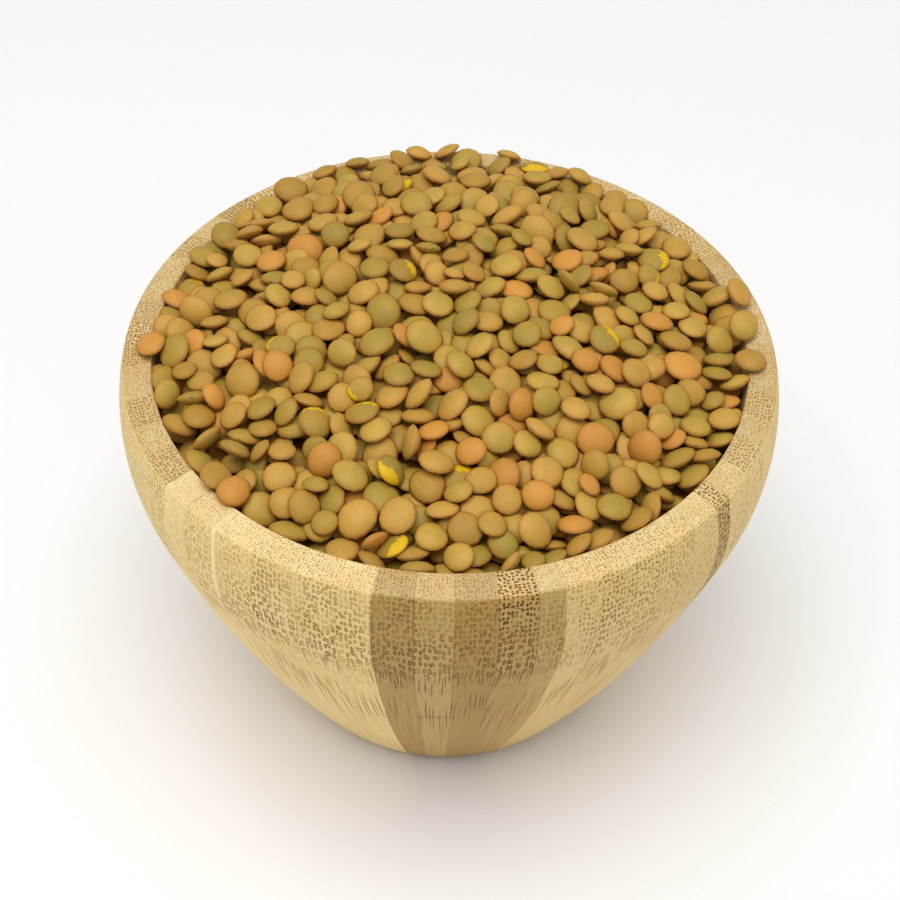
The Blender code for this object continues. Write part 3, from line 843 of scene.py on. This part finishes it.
def lentil_kind(name, seats, surface, seed):
    """All lentils of one colour as one mesh. A lens stands off its middle plane by half its
    thickness times (1 less the share of the radius to the edge power) to the dome power, on both
    sides. The outline swells by a wave of two and one of three lobes, and one dome is fuller.
    Each has its poles' axis and its spin, and is put at its seat."""
    draw = np.random.default_rng(seed)
    count = len(seats)
    turn = tau * np.arange(LENTIL_SIDES) / LENTIL_SIDES
    share = np.array((*LENTIL_RINGS, 1.0, *LENTIL_RINGS[::-1]))
    side = np.array((1.0,) * len(LENTIL_RINGS) + (0.0,) + (-1.0,) * len(LENTIL_RINGS))
    rise = side * (1.0 - share ** EDGE_POWER) ** DOME_POWER
    phase = tau * draw.random((2, count, 1))
    lobes = (OVAL * np.cos(2.0 * turn + phase[0])
             + THREE_LOBES * OVAL * np.cos(3.0 * turn + phase[1]))
    radius, half, spin = seats[:, 6], seats[:, 7], seats[:, 8]
    round_out = radius[:, None] * (1.0 + lobes)
    fuller = LOPSIDED * draw.standard_normal((count, 1))
    ring_x = share[None, :, None] * (round_out * np.cos(turn))[:, None, :]
    ring_y = share[None, :, None] * (round_out * np.sin(turn))[:, None, :]
    domes = rise * half[:, None] * (1.0 + fuller * side)
    ring_z = np.repeat(domes[:, :, None], LENTIL_SIDES, axis=2)
    rings = np.stack((ring_x, ring_y, ring_z), axis=-1).reshape(count, -1, 3)
    poles = np.zeros((count, 2, 3))
    poles[:, 0, 2] = half * (1.0 + fuller[:, 0])
    poles[:, 1, 2] = -half * (1.0 - fuller[:, 0])
    local = np.concatenate((rings, poles), axis=1)

    axis = seats[:, 3:6]
    helper = np.stack((np.cos(spin), np.sin(spin), 0.0 * spin), axis=-1)
    side_x = np.cross(helper, axis)
    side_x = side_x / np.linalg.norm(side_x, axis=1, keepdims=True)
    side_y = np.cross(axis, side_x)
    frames = np.stack((side_x, side_y, axis), axis=1)
    points = np.einsum("nvi,nij->nvj", local, frames) + seats[:, None, :3]

    quads, fans = ring_faces(len(share), LENTIL_SIDES)
    start = local.shape[1] * np.arange(count)[:, None, None]
    quads = (quads[:, (0, 3, 2, 1)][None] + start).reshape(-1, 4)
    fans = (fans[:, (0, 2, 1)][None] + start).reshape(-1, 3)

    offset = SKIN_OFFSET * draw.random((count, 1, 3))
    skin = (MM * local + offset).reshape(-1, 3)
    tone = np.repeat(draw.random(count), local.shape[1])
    rim_gap = np.concatenate((np.repeat(np.abs(rise), LENTIL_SIDES), (1.0, 1.0)))
    outward = np.append(np.outer(share, np.cos(turn)).ravel(), (0.0, 0.0))
    marks = np.stack((tone, np.tile(rim_gap, count), np.tile(outward, count)), axis=-1)
    return add_piece(name, points.reshape(-1, 3), quads.tolist() + fans.tolist(),
                     (("skin", "POINT", skin), ("marks", "POINT", marks)), surface)


COAT_GREEN = colour(152, 142, 60)
# The browner edge of each lentil: partly the coat's own redder tint, partly painted shade for the
# dark outlines and warm gaps between lentils
EDGE_BROWN_AND_SHADE = colour(162, 96, 34)
EDGE_LINE = colour(178, 142, 80)
SCAR_BROWN = colour(70, 40, 14)
SEED_YELLOW = colour(220, 178, 20)
COAT_GLOW = 0.15
COAT_GLOW_REACH = (1.0, 0.35, 0.08)
COAT_GLOW_DEPTH = 0.0015
PIT_STRENGTH = 0.45
PIT_DEPTH = 0.00012


def lentil_finish(name, dull, bright, green, chipped):
    """A dry seed coat. Each lentil has its own tone between two, green patches of a given
    strength, soft clouds and fine specks, a browner edge that is partly the coat's own tint and
    partly painted shade, a paler line round its edge and a dark scar at one spot of it. A chipped
    one shows the yellow seed over part of one side."""
    made, tree, shader = new_material(name, 0.55, 0.32)
    shader.inputs["Subsurface Weight"].default_value = COAT_GLOW
    shader.inputs["Subsurface Radius"].default_value = COAT_GLOW_REACH
    shader.inputs["Subsurface Scale"].default_value = COAT_GLOW_DEPTH
    skin, *_ = attribute(tree, "skin")
    _, tone, rim_gap, outward = attribute(tree, "marks")
    cloud = noise(tree, skin, 0.35, 2.0)
    share = sums(tree, "MULTIPLY_ADD", cloud, 0.8, sums(tree, "SUBTRACT", tone, 0.4), clamp=True)
    surface = blend(tree, share, dull, bright)
    patch = sums(tree, "MULTIPLY_ADD", rim_gap, 0.30, noise(tree, skin, 0.22, 1.0))
    patch = ramp(tree, patch, ((0.56, 0.0), (0.88, 0.5)))
    surface = blend(tree, sums(tree, "MULTIPLY", patch, green), surface, COAT_GREEN)
    speck = noise(tree, skin, 3.2, 3.0)
    value = sums(tree, "MULTIPLY_ADD", speck, 0.34, 0.80)
    shade = put(tree, "ShaderNodeCombineColor", {0: value, 1: value, 2: value}).outputs[0]
    surface = blend(tree, 1.0, surface, shade, "MULTIPLY")
    # A browner edge all round each lentil: partly the coat's own tint, partly painted shade
    # standing in for the outlines and gaps where shade falls
    edge_tint_and_shade = ramp(tree, rim_gap, ((0.0, 0.42), (0.25, 0.18), (0.7, 0.0)))
    surface = blend(tree, edge_tint_and_shade, surface, EDGE_BROWN_AND_SHADE)
    line = ramp(tree, rim_gap, ((0.0, 0.7), (0.04, 0.6), (0.09, 0.0)))
    surface = blend(tree, line, surface, EDGE_LINE)
    scar = sums(tree, "MULTIPLY", ramp(tree, outward, ((0.955, 0.0), (0.985, 1.0))),
                ramp(tree, rim_gap, ((0.0, 1.0), (0.12, 0.7), (0.25, 0.0))))
    surface = blend(tree, scar, surface, SCAR_BROWN)
    if chipped:
        ragged = sums(tree, "MULTIPLY_ADD", noise(tree, skin, 0.9, 1.0), 0.6, outward)
        torn = ramp(tree, sums(tree, "MULTIPLY_ADD", tone, -0.45, ragged),
                    ((0.57, 0.0), (0.60, 1.0)))
        surface = blend(tree, torn, surface, SEED_YELLOW)
    tree.links.new(surface, shader.inputs["Base Color"])
    pits = noise(tree, skin, 1.1, 3.0)
    relief = put(tree, "ShaderNodeBump", {"Strength": PIT_STRENGTH, "Distance": PIT_DEPTH,
                                          "Height": pits})
    tree.links.new(relief.outputs[0], shader.inputs["Normal"])
    return made


seats = drop_lentils()
kinds = np.random.default_rng(SEED + 2).choice(len(KIND_SHARES), len(seats), p=KIND_SHARES)
for kind, places in ((2, ORANGE_PLACES), (3, CHIPPED_PLACES)):
    for x, y in places:
        gap = np.hypot(seats[:, 0] - x / MM, seats[:, 1] - y / MM)
        kinds[np.argmin(gap - HIGHER_FIRST * seats[:, 2])] = kind
finishes = (("lentils_green", colour(167, 134, 48), colour(203, 162, 69), 0.8, False),
            ("lentils_tan", colour(178, 133, 50), colour(208, 159, 71), 0.55, False),
            ("lentils_orange", colour(194, 135, 54), colour(214, 151, 64), 0.0, False),
            ("lentils_chipped", colour(166, 130, 48), colour(190, 150, 64), 0.8, True))
for kind, (name, dull, bright, green, chipped) in enumerate(finishes):
    finish = lentil_finish(name, dull, bright, green, chipped)
    piece = lentil_kind(name, seats[kinds == kind], finish, SEED + 10 + kind)
    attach(piece, "root")
    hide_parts("lentils")

# The view. A camera above the front at the photograph's angle, a plain pale floor, and soft
# studio light: a bright room all round and one wide lamp above the front.
CAMERA_PLACE = (0.00045, -0.28210, 0.35825)
CAMERA_FALL = radians(45.988)
CAMERA_ROLL = radians(-1.419)
LENS = 72.98
SENSOR_WIDTH = 36.0
NEAR_LIMIT = 0.01
FLOOR_SIZE = 3.0
FLOOR_WHITE = 0.90
ROOM_LIGHT = 0.50
LAMP_PLACE = (-0.10, -0.35, 1.60)
LAMP_SIZE = 1.2
LAMP_POWER = 19.7

camera_data = bpy.data.cameras.new("camera")
camera_data.lens = LENS
camera_data.sensor_width = SENSOR_WIDTH
camera_data.clip_start = NEAR_LIMIT
camera = bpy.data.objects.new("camera", camera_data)
bpy.context.scene.collection.objects.link(camera)
sight = Vector((0.0, cos(CAMERA_FALL), -sin(CAMERA_FALL)))
level_right = Vector((1.0, 0.0, 0.0))
level_up = Vector((0.0, sin(CAMERA_FALL), cos(CAMERA_FALL)))
right = cos(CAMERA_ROLL) * level_right - sin(CAMERA_ROLL) * level_up
up = sin(CAMERA_ROLL) * level_right + cos(CAMERA_ROLL) * level_up
turned = Matrix((right, up, -sight)).transposed().to_4x4()
camera.matrix_world = Matrix.Translation(CAMERA_PLACE) @ turned
bpy.context.scene.camera = camera

floor_mesh = bpy.data.meshes.new("floor")
reach = FLOOR_SIZE / 2.0
floor_mesh.from_pydata([(-reach, -reach, 0.0), (reach, -reach, 0.0), (reach, reach, 0.0),
                        (-reach, reach, 0.0)], [], [(0, 1, 2, 3)])
pale, _, pale_shader = new_material("pale floor", 0.9, 0.1)
pale_shader.inputs["Base Color"].default_value = (*(FLOOR_WHITE,) * 3, 1.0)
floor_mesh.materials.append(pale)
floor = bpy.data.objects.new("floor", floor_mesh)
bpy.context.scene.collection.objects.link(floor)

world = bpy.data.worlds.new("room")
world.use_nodes = True
world.node_tree.nodes["Background"].inputs[0].default_value = (1.0, 1.0, 1.0, 1.0)
world.node_tree.nodes["Background"].inputs[1].default_value = ROOM_LIGHT
bpy.context.scene.world = world

lamp_data = bpy.data.lights.new("overhead lamp", "AREA")
lamp_data.shape = "SQUARE"
lamp_data.size = LAMP_SIZE
lamp_data.energy = LAMP_POWER
lamp = bpy.data.objects.new("overhead lamp", lamp_data)
bpy.context.scene.collection.objects.link(lamp)
aim = Vector((0.0, 0.0, BOWL_HEIGHT)) - Vector(LAMP_PLACE)
lamp_turn = aim.to_track_quat("-Z", "Y").to_matrix().to_4x4()
lamp.matrix_world = Matrix.Translation(LAMP_PLACE) @ lamp_turn
bpy.context.scene.view_settings.view_transform = "Standard"
